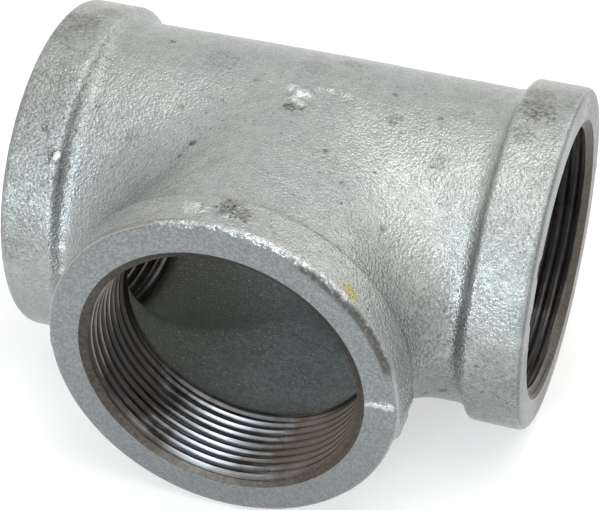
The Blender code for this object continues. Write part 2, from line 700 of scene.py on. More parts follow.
STAINS_AND_PAINTED_SHADE = (
    *marks(
        Port.RUN_LEFT,
        (92, 5.0, 37.3, 6.0, 0.60),
        (85, 2.8, 37.3, 4.0, 0.55),
        (104, 8.6, 37.3, 3.0, 0.40),
        (48, 7.9, 37.3, 2.2, 0.60),
        (41, 10.4, 37.3, 2.2, 0.80),
        (44, 4.1, 37.3, 1.2, 0.60),
        (70, 6.6, 37.3, 1.2, 0.45),
        (66, 8.0, 37.3, 1.0, 0.45),
        # the marks 9 mm and wider on this leg are painted shade that dims the highlights on the left band and
        # barrel
        (62, 5.0, 37.3, 9.0, 0.30),
        (48, 20.0, 34.4, 13.0, 0.20),
        (56, 4.0, 37.3, 14.0, 0.50),
        (38, 5.0, 37.3, 13.0, 0.48),
        (12, 3.0, 37.3, 9.0, 0.40),
        (52, 26.0, 34.8, 2.6, 0.45),
        (92, 38.0, 34.6, 5.0, 0.30),
        (57, 1.8, 37.3, 2.0, 0.55),
        (78, 4.0, 37.3, 12.0, 0.30),
        (205, 6.0, 37.3, 5.0, 0.45),
    ),
    *marks(
        Port.RUN_RIGHT,
        (91, 7.6, 37.3, 5.4, 0.70),
        (100, 8.6, 37.3, 4.0, 0.50),
        (78, 9.0, 37.3, 3.0, 0.45),
        (-7, 2.0, 37.3, 3.4, 0.35),
        # painted shade low on the front of the right barrel
        (2, 18.6, 35.0, 3.6, 0.45),
        (6, 21.0, 36.0, 2.6, 0.35),
        (99, 57.0, 34.6, 4.0, 0.35),
        # painted shadow beside the cast pad
        (72, 57.4, 35.0, 1.9, 0.95),
        (73, 55.4, 35.0, 1.6, 0.90),
        (8, 20.0, 38.0, 11.0, 0.50),
        (-3, 4.5, 37.3, 9.0, 0.32),
        (-20, 1.0, 37.0, 6.5, 0.35),
        (20, 0.6, 36.6, 5.5, 0.35),
        (62, 0.8, 37.0, 6.5, 0.30),
        (78, 36.0, 34.6, 2.2, 0.45),
        (64, 24.0, 34.5, 2.4, 0.40),
        (108, 50.0, 34.6, 3.4, 0.40),
        # painted shade on the low front of the right band and barrel
        (-18, 8.0, 37.3, 15.0, 0.38),
        (-14, 23.0, 35.5, 17.0, 0.52),
        (100, 0.1, 34.0, 7.0, 0.45),
        (40, 0.1, 34.0, 8.0, 0.35),
        (-10, 0.1, 34.0, 9.0, 0.50),
        (40, 5.0, 37.3, 13.0, 0.22),
        *((135 + 36 * step, 0.1, 34.0, 14.0, 0.62) for step in range(5)),
        (250, 9.0, 37.3, 6.0, 0.45),
    ),
    *marks(
        Port.BRANCH,
        (89, 6.8, 37.3, 3.2, 0.85),
        (85, 5.6, 37.3, 3.0, 0.80),
        (105, 25.0, 34.7, 3.0, 0.22),
        (262, 6.0, 37.3, 5.0, 0.50),
    ),
)

# Bright worn zinc, with painted highlights on the cast pad, its pips and the flash line on the branch's face
NICKS_AND_PAINTED_HIGHLIGHTS = (
    *marks(
        Port.RUN_LEFT,
        (40, 11.2, 37.3, 1.2, 0.9),
        (9, 13.8, 34.4, 1.4, 0.9),
        (0, 14.1, 34.4, 1.4, 0.8),
    ),
    *marks(
        Port.RUN_RIGHT,
        # painted highlights on the cast pad and its three pips
        (83, 58.9, 35.0, 1.7, 0.8),
        (81, 56.6, 35.0, 2.0, 0.8),
        (77, 57.2, 35.0, 1.5, 0.8),
        (75, 55.6, 35.0, 1.3, 0.8),
        (86, 51.2, 35.0, 1.0, 0.35),
        (86, 49.2, 35.0, 1.0, 0.30),
        (85, 47.2, 35.0, 1.1, 0.45),
    ),
    *marks(
        Port.BRANCH,
        (100, 5.6, 37.5, 2.4, 0.7),
        # a painted highlight along the flash line on the branch's face
        *((2, 0.1, 31.3 + 0.6 * step, 0.9, 0.8) for step in range(9)),
    ),
)

PITS = (
    *marks(
        Port.RUN_LEFT,
        (99, 24.6, 34.5, 1.2, 0.6),
        (40, 10.4, 37.3, 1.6, 0.9),
        (48, 7.4, 37.3, 1.4, 0.6),
        (66, 34.0, 34.7, 1.0, 0.45),
        (84, 47.0, 34.8, 1.1, 0.4),
        (170, 22.0, 34.4, 1.2, 0.6),
        (230, 33.0, 34.4, 1.3, 0.6),
    ),
    *marks(
        Port.RUN_RIGHT,
        (82, 26.9, 34.4, 1.1, 0.5),
        (90, 38.0, 34.6, 1.1, 0.5),
        (-24, 16.7, 35.4, 1.6, 0.9),
        (-24, 20.5, 36.4, 1.3, 0.8),
        (140, 30.0, 34.4, 1.3, 0.6),
    ),
    *marks(
        Port.BRANCH,
        (119, 33.3, 35.0, 1.35, 0.85),
        (121, 31.6, 35.0, 1.0, 0.6),
        (122, 29.6, 35.0, 0.9, 0.6),
        (43, 25.7, 35.5, 1.1, 0.5),
        (62, 29.6, 34.9, 1.1, 0.5),
        (72, 36.0, 34.7, 1.0, 0.5),
    ),
)

PAINT_DOT = marks(Port.BRANCH, (45, 2.6, 37.3, 2.6, 0.85))


@dataclass(frozen=True)
class RimStretch:
    """A stretch of the branch's outer rim."""

    start: float  # degrees round the branch
    end: float
    inset: float  # how far in from the top of the band it lies
    depth: float  # how far in from the face it lies
    width: float
    fade: float = 6.0  # degrees over which it starts and ends


CHIPPED_EDGE = RimStretch(12, 66, 0.9 * MM, 0.3 * MM, 1.5 * MM)
# a painted highlight along the burr on the branch's upper rim
PAINTED_BURR_HIGHLIGHT = RimStretch(40, 112, 0.3 * MM, 0.9 * MM, 1.0 * MM)
BROWNED_EDGE = RimStretch(95, 178, 0.1 * MM, 1.3 * MM, 0.9 * MM)


def cover(graph: FinishGraph, sizes: TeeSizes, group: Sequence[Mark], ragged: float, breakup: Socket,
          shape: CastShape | None = None) -> Socket:
    """Paint a group of marks.

    Args:
        graph: The material's nodes.
        sizes: The tee's sizes.
        group: The marks.
        ragged: How torn their edges are.
        breakup: The noise that tears them.
        shape: The casting whose outer skin the marks settle on, if they do.

    Returns:
        How strongly any mark covers a point.
    """
    total: Any = 0.0
    for mark in group:
        centre = sizes.place(mark.port, mark.angle, mark.depth * MM, mark.radius * MM)
        if shape is not None:
            centre = Vector(shape.settle(shape.outer, np.array([centre]))[0])
        away = graph.vector("DISTANCE", graph.place, centre)
        inside = graph.math("SUBTRACT", 1.0, graph.math("DIVIDE", away, mark.size * MM))
        torn = graph.math("MULTIPLY_ADD", graph.math("SUBTRACT", breakup, 0.5), ragged, inside)
        total = graph.math("MAXIMUM", total, graph.remap(torn, 0.0, 0.55, 0.0, mark.strength))
    return total


@dataclass(frozen=True)
class ZincNoise:
    """The zinc's unevenness, from coarse to fine, and how much of the sand's grain the skin shows."""

    clouds: Socket
    mottle: Socket
    breakup: Socket
    grain: Socket
    fine: Socket
    skin: Socket


@dataclass(frozen=True)
class ZincFinish:
    """Hot-dip zinc over a sand casting."""

    sizes: TeeSizes
    shape: CastShape
    light: Colour = (0.415, 0.438, 0.425)
    dull: Colour = (0.325, 0.338, 0.328)
    cool: Colour = (0.35, 0.38, 0.395)
    face: Colour = (0.172, 0.184, 0.196)  # where the casting was trimmed; darker still as painted shade on the port faces
    hollow: Colour = (0.17, 0.17, 0.16)
    # the colour of painted glints
    painted_glint: Colour = (0.80, 0.83, 0.82)
    freckle: Colour = (0.075, 0.07, 0.062)
    under: Colour = (0.175, 0.185, 0.19)  # painted shade, low on the tee
    # worn bright zinc, and the colour of the painted highlights
    nick_and_highlight: Colour = (0.64, 0.67, 0.67)
    # the colour of stains and of the painted shade among them
    stain_and_shade: Colour = (0.075, 0.067, 0.059)
    rust: Colour = (0.19, 0.155, 0.12)
    paint: Colour = (0.38, 0.35, 0.13)
    cloud_size: float = 22 * MM
    mottle_size: float = 3.0 * MM
    breakup_size: float = 1.0 * MM
    grain_size: float = 0.62 * MM
    fine_size: float = 0.36 * MM
    patch_size: float = 0.5 * MM
    freckle_spacing: float = 2.6 * MM
    painted_shade_heights: tuple[float, float] = (46 * MM, 14 * MM)  # painted shade by height over the ground: where it starts, and where it is in full
    metallic: float = 0.85
    bump: float = 0.23 * MM

    def bare(self, graph: FinishGraph, noise: ZincNoise) -> Socket:
        """The zinc's colour, with painted shade low down and on the port faces, and painted glints.

        Args:
            graph: The material's nodes.
            noise: The zinc's unevenness.

        Returns:
            The colour.
        """
        colour = graph.mix(graph.remap(noise.mottle, 0.30, 0.70), self.dull, self.light)
        colour = graph.mix(graph.remap(noise.clouds, 0.42, 0.70, 0.0, 0.5), colour, self.cool)
        # the trimmed port faces: partly their own smoother finish, partly painted shade that darkens them
        colour = graph.mix(graph.remap(noise.skin, 0.8, 0.45, 0.0, 0.9), colour, self.face)
        colour = graph.mix(graph.remap(noise.grain, 0.45, 0.28, 0.0, 0.65), colour, self.hollow)
        patches = graph.remap(graph.noise(graph.place, self.patch_size, 3, 0.7), 0.42, 0.62, 0.0, 0.4)
        patches = graph.product(patches, graph.remap(noise.skin, 0.8, 0.45))
        colour = graph.mix(patches, colour, self.light)
        # painted glints: bright specks in the colour that stand in for the zinc's sparkle
        painted_glints = graph.remap(noise.fine, 0.62, 0.80, 0.0, 0.5)
        colour = graph.mix(graph.product(painted_glints, graph.remap(noise.skin, 0.55, 0.8)), colour, self.painted_glint)
        colour = graph.mix(self.freckles(graph, noise), colour, self.freckle)
        # painted shade: the colour darkens towards the ground
        shaded = graph.remap(graph.split(graph.place)[2], *self.painted_shade_heights, 0.0, 0.34)
        return graph.mix(shaded, colour, self.under)

    def freckles(self, graph: FinishGraph, noise: ZincNoise) -> Socket:
        """Small dark freckles that gather in clouds.

        Args:
            graph: The material's nodes.
            noise: The zinc's unevenness.

        Returns:
            How strongly they cover a point.
        """
        inputs = {"Vector": graph.place, "Scale": 1 / self.freckle_spacing}
        away = graph.node("ShaderNodeTexVoronoi", inputs).outputs["Distance"]
        return graph.product(
            graph.remap(away, 0.24, 0.05),
            graph.remap(noise.clouds, 0.36, 0.54, 0.2, 0.9),
            graph.remap(noise.grain, 0.62, 0.40),
            graph.remap(noise.breakup, 0.42, 0.60),
        )

    def rim(self, graph: FinishGraph, stretch: RimStretch) -> Socket:
        """Cover a stretch of the branch's outer rim.

        Args:
            graph: The material's nodes.
            stretch: The stretch.

        Returns:
            How strongly the stretch covers a point.
        """
        x, y, z = graph.split(graph.vector("SUBTRACT", graph.place, self.sizes.crossing))
        turn = graph.math("DEGREES", graph.math("ARCTAN2", z, x))
        out = graph.vector("LENGTH", graph.joined(x, 0.0, z))
        aside = graph.math("SUBTRACT", out, self.sizes.band_radius - stretch.inset)
        back = graph.math("ADD", y, self.sizes.centre_to_end - stretch.depth)
        gap = graph.vector("LENGTH", graph.joined(aside, back, 0.0))
        near = graph.remap(gap, stretch.width, stretch.width * 0.3)
        starts = graph.remap(turn, stretch.start, stretch.start + stretch.fade)
        ends = graph.remap(turn, stretch.end, stretch.end - stretch.fade)
        return graph.product(near, graph.product(starts, ends))

    def dirt_and_shade(self, graph: FinishGraph, noise: ZincNoise) -> Socket:
        """Handling stains with broad painted shade among them, pits, and the dark chipped edge on the right
        of the branch's rim.

        Args:
            graph: The material's nodes.
            noise: The zinc's unevenness.

        Returns:
            How strongly they cover a point.
        """
        stains_and_shade = cover(graph, self.sizes, STAINS_AND_PAINTED_SHADE, 2.6, noise.breakup, self.shape)
        grainy = graph.remap(noise.grain, 0.38, 0.64, 1.0, 0.45)
        stains_and_shade = graph.product(stains_and_shade, grainy, graph.remap(noise.breakup, 0.38, 0.62, 0.6, 1.15), clamp=True)
        pits = cover(graph, self.sizes, PITS, 2.2, noise.grain, self.shape)
        pits = graph.product(pits, graph.remap(noise.grain, 0.64, 0.44, 0.1, 1.4), clamp=True)
        chipped = self.rim(graph, CHIPPED_EDGE)
        chipped = graph.product(chipped, graph.remap(noise.breakup, 0.36, 0.50), 0.9)
        return graph.math("MAXIMUM", graph.math("MAXIMUM", stains_and_shade, pits), chipped)

    def material(self) -> bpy.types.Material:
        """Build the finish. It reads the casting's own "rough" attribute.

        Returns:
            The material.
        """
        graph = FinishGraph("zinc_skin", self.metallic)
        place = graph.place
        noise = ZincNoise(
            clouds=graph.noise(place, self.cloud_size, 4, 0.6),
            mottle=graph.noise(place, self.mottle_size, 5, 0.7),
            breakup=graph.noise(place, self.breakup_size, 4, 0.8),
            grain=graph.noise(place, self.grain_size, 3, 0.6),
            fine=graph.noise(place, self.fine_size),
            skin=graph.node("ShaderNodeAttribute", attribute_name="rough").outputs["Fac"],
        )
        colour = self.bare(graph, noise)
        browned = self.rim(graph, BROWNED_EDGE)
        browned = graph.product(browned, graph.remap(noise.mottle, 0.35, 0.6, 0.2, 0.75))
        colour = graph.mix(browned, colour, self.rust)
        # handling marks, pits and the chipped edge, with the broad painted shade among them
        dirt_and_shade = self.dirt_and_shade(graph, noise)
        colour = graph.mix(dirt_and_shade, colour, self.stain_and_shade)
        dot = cover(graph, self.sizes, PAINT_DOT, 1.4, noise.breakup, self.shape)
        colour = graph.mix(dot, colour, self.paint)
        # painted highlight: the burr on the branch's rim is coloured bright
        burr_highlight = self.rim(graph, PAINTED_BURR_HIGHLIGHT)
        burr_highlight = graph.product(burr_highlight, graph.remap(noise.breakup, 0.42, 0.60, 0.0, 0.9))
        # bright worn zinc, and painted highlights on the pad, pips, face line and burr
        nicks_and_highlights = cover(graph, self.sizes, NICKS_AND_PAINTED_HIGHLIGHTS, 3.0, noise.breakup, self.shape)
        colour = graph.mix(graph.math("MAXIMUM", nicks_and_highlights, burr_highlight), colour, self.nick_and_highlight)

        rough = graph.remap(noise.fine, 0.35, 0.65, 0.33, 0.22)
        rough = graph.math("ADD", rough, graph.product(dirt_and_shade, 0.15), clamp=True)
        inputs = {"Vector": place, "Scale": 1 / self.grain_size, "Smoothness": 0.7}
        pebbles = graph.node("ShaderNodeTexVoronoi", inputs, feature="SMOOTH_F1").outputs["Distance"]
        height = graph.math("ADD", graph.product(pebbles, -0.6), graph.product(noise.grain, 0.9))
        height = graph.math("ADD", height, graph.product(noise.fine, 0.45))
        return graph.dress(colour, rough, graph.product(height, noise.skin), self.bump)


@dataclass(frozen=True)
class WaterwayFinish:
    """Dull zinc inside the waterway, darker than the outer zinc and speckled with painted glints."""

    shade: Colour = (0.19, 0.215, 0.212)
    pale: Colour = (0.35, 0.38, 0.37)
    olive: Colour = (0.155, 0.155, 0.115)
    # the colour of painted glints
    painted_glint: Colour = (0.70, 0.72, 0.66)
    cloud_size: float = 12 * MM
    mottle_size: float = 1.2 * MM
    grain_size: float = 0.6 * MM
    painted_glint_size: float = 0.42 * MM
    olive_reach: float = 22 * MM  # how far left of the crossing the olive film is in full
    metallic: float = 0.6
    bump: float = 0.30 * MM

    def material(self) -> bpy.types.Material:
        """Build the finish.

        Returns:
            The material.
        """
        graph = FinishGraph("waterway_skin", self.metallic)
        mottle = graph.noise(graph.place, self.mottle_size, 5, 0.7)
        clouds = graph.noise(graph.place, self.cloud_size, 3, 0.6)
        grain = graph.noise(graph.place, self.grain_size, 3, 0.6)
        painted_glints = graph.noise(graph.place, self.painted_glint_size, 1)
        across = graph.split(graph.place)[0]
        colour = graph.mix(graph.remap(mottle, 0.30, 0.70), self.shade, self.pale)
        colour = graph.mix(graph.remap(across, 0.0, -self.olive_reach, 0.0, 0.6), colour, self.olive)
        colour = graph.mix(graph.remap(clouds, 0.45, 0.62, 0.0, 0.35), colour, self.shade)
        # painted glints: bright specks in the colour that stand in for sparkle in the hollow
        colour = graph.mix(graph.remap(painted_glints, 0.62, 0.78, 0.0, 0.7), colour, self.painted_glint)
        return graph.dress(colour, graph.remap(mottle, 0.3, 0.7, 0.55, 0.68), grain, self.bump)


# brown rust; on the branch's right it is also painted shade that dims the threads' highlight
RUST_AND_PAINTED_SHADE = (
    *marks(Port.RUN_LEFT, (230, 8.0, 29.0, 30.0, 0.50)),
    *marks(Port.RUN_RIGHT, (100, 8.0, 29.0, 34.0, 0.60)),
    # rust that is also painted shade over the highlight on the branch's threads
    *marks(Port.BRANCH, (-25, 8.0, 29.0, 32.0, 0.90)),
)

WORN_CRESTS = (
    *marks(Port.RUN_RIGHT, (150, 5.0, 29.0, 12.0, 0.40)),
    *marks(
        Port.BRANCH,
        (166, 5.0, 29.0, 15.0, 0.80),
        (186, 3.5, 29.0, 9.0, 0.50),
    ),
)

# painted shade that darkens parts of the threads
PAINTED_THREAD_SHADE = (
    *marks(Port.RUN_LEFT, (200, 14.0, 29.0, 36.0, 0.80)),
    *marks(Port.RUN_RIGHT, (200, 8.0, 29.0, 24.0, 0.45)),
    *marks(
        Port.BRANCH,
        (194, 13.0, 29.0, 28.0, 0.92),
        (150, 14.0, 29.0, 16.0, 0.50),
    ),
)


@dataclass(frozen=True)
class CutIronFinish:
    """Bare iron left by the tap, streaked along the cut, with a film of brown and patches of painted shade.
    """

    sizes: TeeSizes
    bright: Colour = (0.28, 0.28, 0.29)
    dark: Colour = (0.15, 0.147, 0.147)
    brown: Colour = (0.12, 0.095, 0.075)
    lip: Colour = (0.065, 0.057, 0.048)
    crust: Colour = (0.105, 0.09, 0.076)
    fleck: Colour = (0.07, 0.055, 0.045)
    worn: Colour = (0.40, 0.365, 0.335)
    # the colour of the painted shade on the threads
    painted_thread_shade: Colour = (0.035, 0.032, 0.030)
    streaks: tuple[float, float, float] = (9.0, 3200.0, 900.0)  # a turn, and a metre of depth and of cut
    patch_size: float = 7 * MM
    fleck_size: float = 0.8 * MM
    metallic: float = 1.0
    bump: float = 0.012 * MM
    bump_strength: float = 0.5

    def material(self) -> bpy.types.Material:
        """Build the finish. It reads the threads' own "cut" attribute: turns round the port, depth and wear.

        Returns:
            The material.
        """
        graph = FinishGraph("cut_iron", self.metallic)
        traits = graph.node("ShaderNodeAttribute", attribute_name="cut").outputs["Vector"]
        _, depth, cut = graph.split(traits)
        streaks = graph.noise(graph.vector("MULTIPLY", traits, self.streaks), 1.0, 3.0)
        patches = graph.noise(graph.place, self.patch_size, 4, 0.6)
        flecks = graph.noise(graph.place, self.fleck_size, 3, 0.6)
        colour = graph.mix(graph.remap(streaks, 0.35, 0.65), self.dark, self.bright)
        colour = graph.mix(graph.remap(patches, 0.45, 0.65, 0.0, 0.55), colour, self.brown)
        # painted shade on the threads
        colour = graph.mix(cover(graph, self.sizes, PAINTED_THREAD_SHADE, 0.9, patches), colour, self.painted_thread_shade)
        # brown rust, partly painted shade over the threads' highlight
        colour = graph.mix(cover(graph, self.sizes, RUST_AND_PAINTED_SHADE, 1.2, patches), colour, self.brown)
        near_mouth = graph.remap(depth, 2.4 * MM, 0.9 * MM, 0.0, 0.85)
        mouth = graph.mix(graph.remap(flecks, 0.40, 0.62), self.lip, self.crust)
        colour = graph.mix(near_mouth, colour, mouth)
        colour = graph.mix(graph.remap(flecks, 0.66, 0.76, 0.0, 0.6), colour, self.fleck)
        rubbed = graph.product(
            cover(graph, self.sizes, WORN_CRESTS, 1.0, patches),
            graph.remap(cut, 0.35 * MM, 0.05 * MM),
            graph.remap(depth, 1.1 * MM, 2.2 * MM),
            graph.remap(streaks, 0.35, 0.60, 0.25, 0.9),
        )
        colour = graph.mix(rubbed, colour, self.worn)
        rough = graph.remap(streaks, 0.3, 0.7, 0.26, 0.36)
        rough = graph.math("ADD", rough, graph.product(near_mouth, 0.2))
        height = graph.math("ADD", streaks, graph.product(flecks, 0.5))
        return graph.dress(colour, rough, height, self.bump, self.bump_strength)


# Meshes from chains of points


def add_object(name: str, data: bpy.types.ID) -> bpy.types.Object:
    """Put a new object in the scene.

    Args:
        name: Its name.
        data: Its mesh, light or camera.

    Returns:
        The object.
    """
    thing = bpy.data.objects.new(name, data)
    bpy.context.scene.collection.objects.link(thing)
    return thing


class SkinMesh:
    """Triangles and quads between chains of points that run along a leg."""

    def __init__(self) -> None:
        """Start with nothing."""
        self.points: list[np.ndarray] = []
        self.flags: list[np.ndarray] = []
        self.count = 0
        self.faces: list[tuple[int, ...]] = []

    def add_chain(self, chain: np.ndarray, shown: int) -> range:
        """Keep a chain's points.

        Args:
            chain: The points, one a row.
            shown: How many of them, from the first, lie on the visible skin.

        Returns:
            The numbers of the points.
        """
        self.points.append(chain)
        self.flags.append(np.arange(len(chain)) < shown)
        self.count += len(chain)
        return range(self.count - len(chain), self.count)

    def add_strip(self, first: Sequence[int], second: Sequence[int]) -> None:
        """Fill the strip between two chains, which may differ in length.

        Args:
            first: Point numbers of one chain.
            second: Point numbers of its neighbour.
        """
        if len(first) == len(second):
            self.faces.extend(zip(first, first[1:], second[1:], second))
            return
        i = j = 0
        last_i, last_j = len(first) - 1, len(second) - 1
        while i < last_i or j < last_j:
            if j == last_j or (i < last_i and (i + 1) * last_j <= (j + 1) * last_i):
                self.faces.append((first[i], first[i + 1], second[j]))
                i += 1
            else:
                self.faces.append((first[i], second[j + 1], second[j]))
                j += 1

    def sewn(self) -> tuple[np.ndarray, list[tuple[int, ...]], np.ndarray]:
        """Make points that coincide one, and drop the faces that collapse.

        Returns:
            The points, the faces as point numbers, and which points lie on the visible skin.
        """
        points = np.concatenate(self.points)
        _, first, index = np.unique(np.round(points / SEW), axis=0, return_index=True, return_inverse=True)
        index = index.reshape(-1)
        shown = np.zeros(len(first), dtype=bool)
        np.logical_or.at(shown, index, np.concatenate(self.flags))
        index = index.tolist()
        faces = []
        for face in self.faces:
            corners = list(dict.fromkeys(index[i] for i in face))
            if len(corners) > 2:
                faces.append(tuple(corners))
        return points[first], faces, shown


def along_line(start: Sequence[float], end: Sequence[float], spacing: float) -> np.ndarray:
    """Even steps from one point of an outline to another, without the last.

    Args:
        start: The first point.
        end: The last point.
        spacing: The wanted step.

    Returns:
        The points, one a row.
    """
    start, end = np.array(start), np.array(end)
    count = max(round(float(np.linalg.norm(end - start)) / spacing), 1)
    return start + (end - start) * (np.arange(count) / count)[:, None]


def outline(corners: Sequence[Sequence[float]], spacing: float) -> np.ndarray:
    """An outline through its corners, in even steps.

    Args:
        corners: Its corners, each (along, radius).
        spacing: The wanted step.

    Returns:
        The points, one a row.
    """
    pieces = [along_line(a, b, spacing) for a, b in zip(corners, corners[1:])]
    return np.concatenate([*pieces, np.array([corners[-1]])])


@dataclass(frozen=True)
class Casting:
    """The casting: its body, the three bands and the waterway, as closed pieces that share their seams."""

    sizes: TeeSizes
    shape: CastShape
    relief: Relief
    zinc: bpy.types.Material
    waterway: bpy.types.Material
    segments: int = 420
    spacing: float = 0.56 * MM
    band_spacing: float = 0.45 * MM
    hidden_spacing: float = 6 * MM
    waterway_segments: int = 180
    waterway_spacing: float = 1.1 * MM
    waterway_gap: float = 0.1 * MM  # how far behind the thread the waterway's shell stops
    mouth_radius: float = 30.5 * MM
    skirt: float = 0.5 * MM  # how far the hidden surfaces keep clear of the skin and the lining
    toe: float = 0.2 * MM  # how much of the barrel a band's piece takes in at its foot
    body_end: float = 1.6 * MM  # how far behind the face the body's hidden sleeve stops
    band_return: float = 1.4 * MM  # how far behind the face a band's hidden back lies
    trimmed_depth: float = 0.6 * MM  # how deep a port's trimmed face counts
    trimmed_grain: float = 0.45  # how much of the sand's grain is left there

    def foot(self, port: Port) -> float:
        """Where a band's foot meets the barrel, as a distance along the leg."""
        width = self.sizes.branch_band_width if port is Port.BRANCH else self.sizes.run_band_width
        return self.sizes.centre_to_end - width - self.toe

    def leg_points(self, port: Port, angle: float, stations: np.ndarray) -> np.ndarray:
        """Points of a leg at one angle.

        Args:
            port: The leg's port.
            angle: Radians, counted up from the port's side direction.
            stations: Rows of (along, radius).

        Returns:
            The points in the row frame.
        """
        across = np.array(port.side) * math.cos(angle) + np.array((0, 0, math.sin(angle)))
        along, radius = stations[:, :1], stations[:, 1:]
        return np.array(self.sizes.crossing) + along * np.array(port.outward) + radius * across

    def barrel_chains(self, mesh: SkinMesh, segments: int, radius: float, ends: dict[Port, float],
                      spacing: float, tail: Callable[[float, float], Sequence[Sequence[float]]]) -> None:
        """Cover the barrels of all three legs, from the mitre between them to each leg's end.

        Args:
            mesh: The mesh that gets the strips.
            segments: How many strips go round a leg.
            radius: The barrels' radius.
            ends: Where each leg ends.
            spacing: The wanted step along a leg.
            tail: The hidden stations after a leg's end, from the leg's end and the strip's mitre share.
        """
        for port in Port:
            previous: range | None = None
            for step in range(segments + 1):
                angle = 2 * math.pi * (step % segments) / segments
                share = abs(math.cos(angle)) if port is Port.BRANCH else max(math.cos(angle), 0.0)
                stations = outline([(radius * share, radius), (ends[port], radius)], spacing)
                hidden = np.array(tail(ends[port], share)).reshape(-1, 2)
                points = self.leg_points(port, angle, np.concatenate([stations, hidden]))
                chain = mesh.add_chain(points, len(stations))
                if previous is not None:
                    visible = len(previous) - len(hidden), len(chain) - len(hidden)
                    mesh.add_strip(previous[: visible[0]], chain[: visible[1]])
                    mesh.add_strip(previous[visible[0] - 1 :], chain[visible[1] - 1 :])
                previous = chain

    def body_mesh(self) -> SkinMesh:
        """The barrels, the crotch and a hidden inner surface.

        Returns:
            The mesh.
        """
        mesh = SkinMesh()
        inside = self.sizes.lining_radius + self.skirt
        under_band = self.sizes.barrel_radius - self.skirt
        end = self.sizes.centre_to_end - self.body_end

        def tail(foot: float, share: float) -> list[tuple[float, float]]:
            """The way under the band, round the end and back along the inside."""
            return [(foot, under_band), (end, under_band), (end, inside), (foot, inside),
                    (inside * share, inside)]

        ends = {port: self.foot(port) for port in Port}
        self.barrel_chains(mesh, self.segments, self.sizes.barrel_radius, ends, self.spacing, tail)
        return mesh

    def waterway_mesh(self) -> SkinMesh:
        """The cast wall that the water sees, as a thin closed shell.

        Returns:
            The mesh.
        """
        mesh = SkinMesh()
        radius = self.shape.core_radius
        outside = self.sizes.lining_radius
        end = self.sizes.centre_to_end - self.sizes.thread_length - self.waterway_gap

        def tail(leg_end: float, share: float) -> list[tuple[float, float]]:
            """The way back along the outside of the shell."""
            return [(leg_end, outside), (outside * share, outside)]

        ends = {port: end for port in Port}
        self.barrel_chains(mesh, self.waterway_segments, radius, ends, self.waterway_spacing, tail)
        return mesh

    def band_mesh(self, port: Port) -> SkinMesh:
        """A band and its port's face, closed by a hidden return.

        Args:
            port: The band's port.

        Returns:
            The mesh.
        """
        foot, end = self.foot(port), self.sizes.centre_to_end
        barrel, top = self.sizes.barrel_radius, self.sizes.band_radius
        slope = self.shape.band_slope
        mouth, back = self.mouth_radius, end - self.band_return
        under = barrel - self.skirt + self.toe
        skin = [(foot, barrel), (foot + self.toe, barrel), (foot + slope, top), (end, top), (end, mouth)]
        inside = [(end - 0.5 * MM, mouth + 0.25 * MM), (back, mouth + 0.8 * MM), (back, under),
                  (foot, under), (foot, barrel)]
        shown = outline(skin, self.band_spacing)
        hidden = outline(inside, self.hidden_spacing)
        mesh = SkinMesh()
        chains = []
        for step in range(self.segments):
            angle = 2 * math.pi * step / self.segments
            points = self.leg_points(port, angle, np.concatenate([shown, hidden]))
            chains.append(mesh.add_chain(points, len(shown)))
        for first, second in zip(chains, [*chains[1:], chains[0]]):
            mesh.add_strip(first, second)
        return mesh

    def piece(self, name: str, mesh: SkinMesh, distance: Distance, material: bpy.types.Material,
              with_relief: bool) -> bpy.types.Object:
        """Turn chains into a finished piece.

        Args:
            name: The piece's name.
            mesh: Its chains.
            distance: The surface that its skin settles on.
            material: Its finish.
            with_relief: Whether the cast relief belongs on it.

        Returns:
            The piece.
        """
        base, faces, shown = mesh.sewn()
        points, outward = base.copy(), np.zeros_like(base)
        points[shown] = self.shape.settle(distance, base[shown])
        outward[shown] = self.shape.normals(distance, points[shown])
        if with_relief:
            points[shown] += outward[shown] * self.relief.rise(points[shown])[:, None]
        else:
            # in the waterway, the way out of the metal is the way into the hollow
            outward = -outward
        data = bpy.data.meshes.new(name)
        data.from_pydata(points.tolist(), [], faces)
        bm = bmesh.new()
        bm.from_mesh(data)
        bmesh.ops.recalc_face_normals(bm, faces=bm.faces)
        bm.to_mesh(data)
        bm.free()
        out = data.attributes.new("out", "FLOAT_VECTOR", "POINT")
        out.data.foreach_set("vector", outward.astype(np.float32).ravel())
        rough = data.attributes.new("rough", "FLOAT", "POINT")
        rough.data.foreach_set("value", self.roughness(points, shown).astype(np.float32))
        return SandSkin().apply(add_object(name, data), material)

    def roughness(self, points: np.ndarray, shown: np.ndarray) -> np.ndarray:
        """How much of the sand's grain each point shows: faces and mouths were trimmed smooth.

        Args:
            points: The points.
            shown: Which of them are visible.

        Returns:
            One share a point.
        """
        x, y, z = (points - np.array(self.sizes.crossing)).T
        end = self.sizes.centre_to_end
        depth = np.minimum(end - np.abs(x), end + y)
        from_axis = np.where(end - np.abs(x) < end + y, np.hypot(y, z), np.hypot(x, z))
        flat = (depth < self.trimmed_depth) & (from_axis < self.sizes.band_radius - 0.1 * MM)
        share = np.where(flat, self.trimmed_grain, 1.0)
        share = np.where(flat & (from_axis < self.mouth_radius + 0.3 * MM), 0.0, share)
        return np.where(shown, share, 0.0)

    def build(self) -> list[bpy.types.Object]:
        """Build every piece of the casting.

        Returns:
            The pieces.
        """
        bands = {
            Port.RUN_LEFT: ("cast_run_band_left", "run_band_left"),
            Port.RUN_RIGHT: ("cast_run_band_right", "run_band_right"),
            Port.BRANCH: ("cast_branch_band", "branch_band"),
        }
        outer, inner = self.shape.outer, self.shape.waterway
        made = [self.piece("cast_body", self.body_mesh(), outer, self.zinc, True)]
        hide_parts("tee_body")
        made.append(self.piece("cast_waterway", self.waterway_mesh(), inner, self.waterway, False))
        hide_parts("tee_body")
        for port, (name, node) in bands.items():
            made.append(self.piece(name, self.band_mesh(port), outer, self.zinc, True))
            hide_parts(node)
        for thing in made:
            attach(thing, BODY)
        return made


